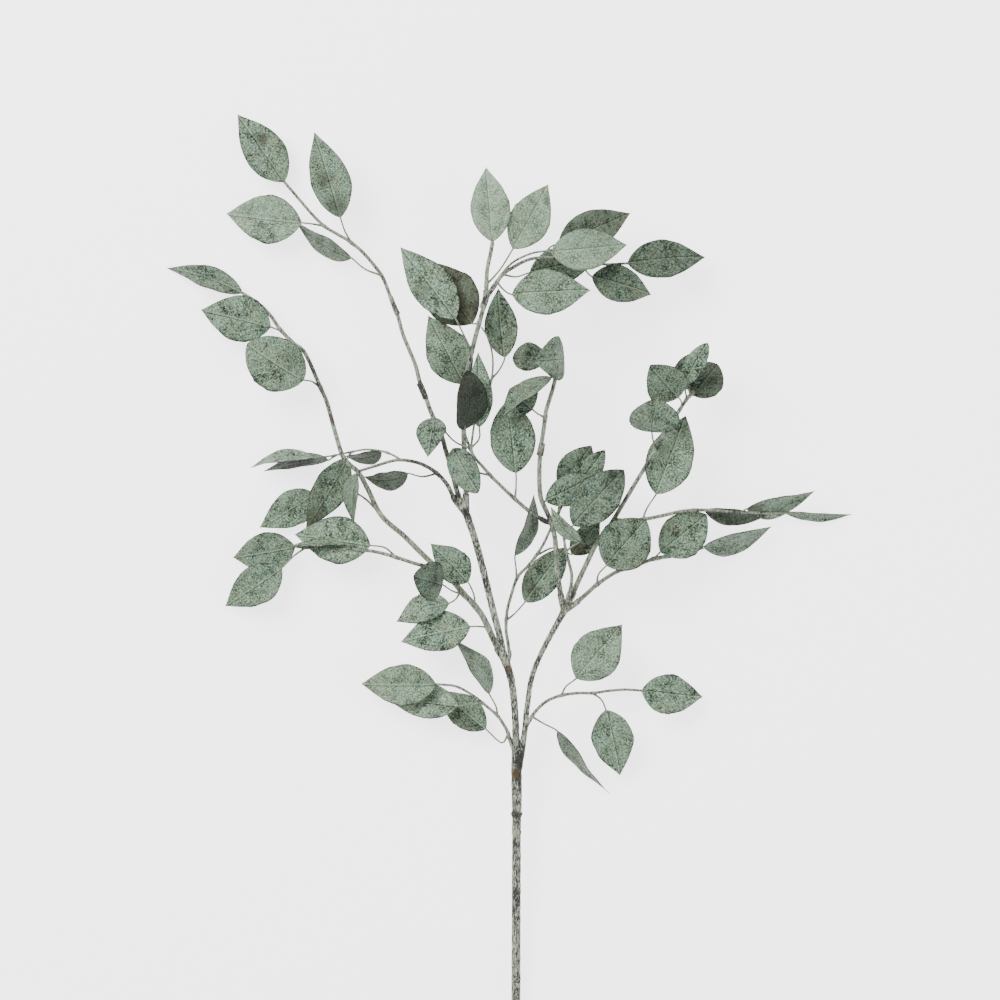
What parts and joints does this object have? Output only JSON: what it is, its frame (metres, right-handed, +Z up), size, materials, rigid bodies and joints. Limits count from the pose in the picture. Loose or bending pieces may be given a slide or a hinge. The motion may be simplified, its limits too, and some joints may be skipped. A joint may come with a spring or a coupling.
{
  "type": "eucalyptus branch",
  "caption": "Cut branch of silver-green eucalyptus with a long bare stem, forked leaders and loose sprays of pointed oval leaves.",
  "frame": {"origin": "middle of the small flat spot under the cut end of the stem, where the branch rests", "axes": "+Y along the branch from the cut end to the tips, +Z up out of the surface the branch lies on, +X to the right as seen from above"},
  "size_m": [0.6202, 0.9711, 0.1058],
  "materials": {
    "bark": "smooth grey-green young bark with dark specks",
    "leaf": "thin matte waxy leaf blade with a fine net of veins"
  },
  "bodies": {
    "root": {"main_stem": "bark", "low_left_spray": "leaf", "low_right_spray": "leaf", "left_frond": "leaf", "left_side_twig": "leaf", "left_arc_twig": "leaf", "top_left_frond": "leaf", "centre_frond": "leaf", "top_right_spray": "leaf", "diagonal_twig": "leaf", "centre_thin_twig": "leaf", "inner_right_frond": "leaf", "right_cluster": "leaf", "right_frond": "leaf", "right_middle_spray": "leaf", "right_lower_spray": "leaf"}
  },
  "joints": []
}
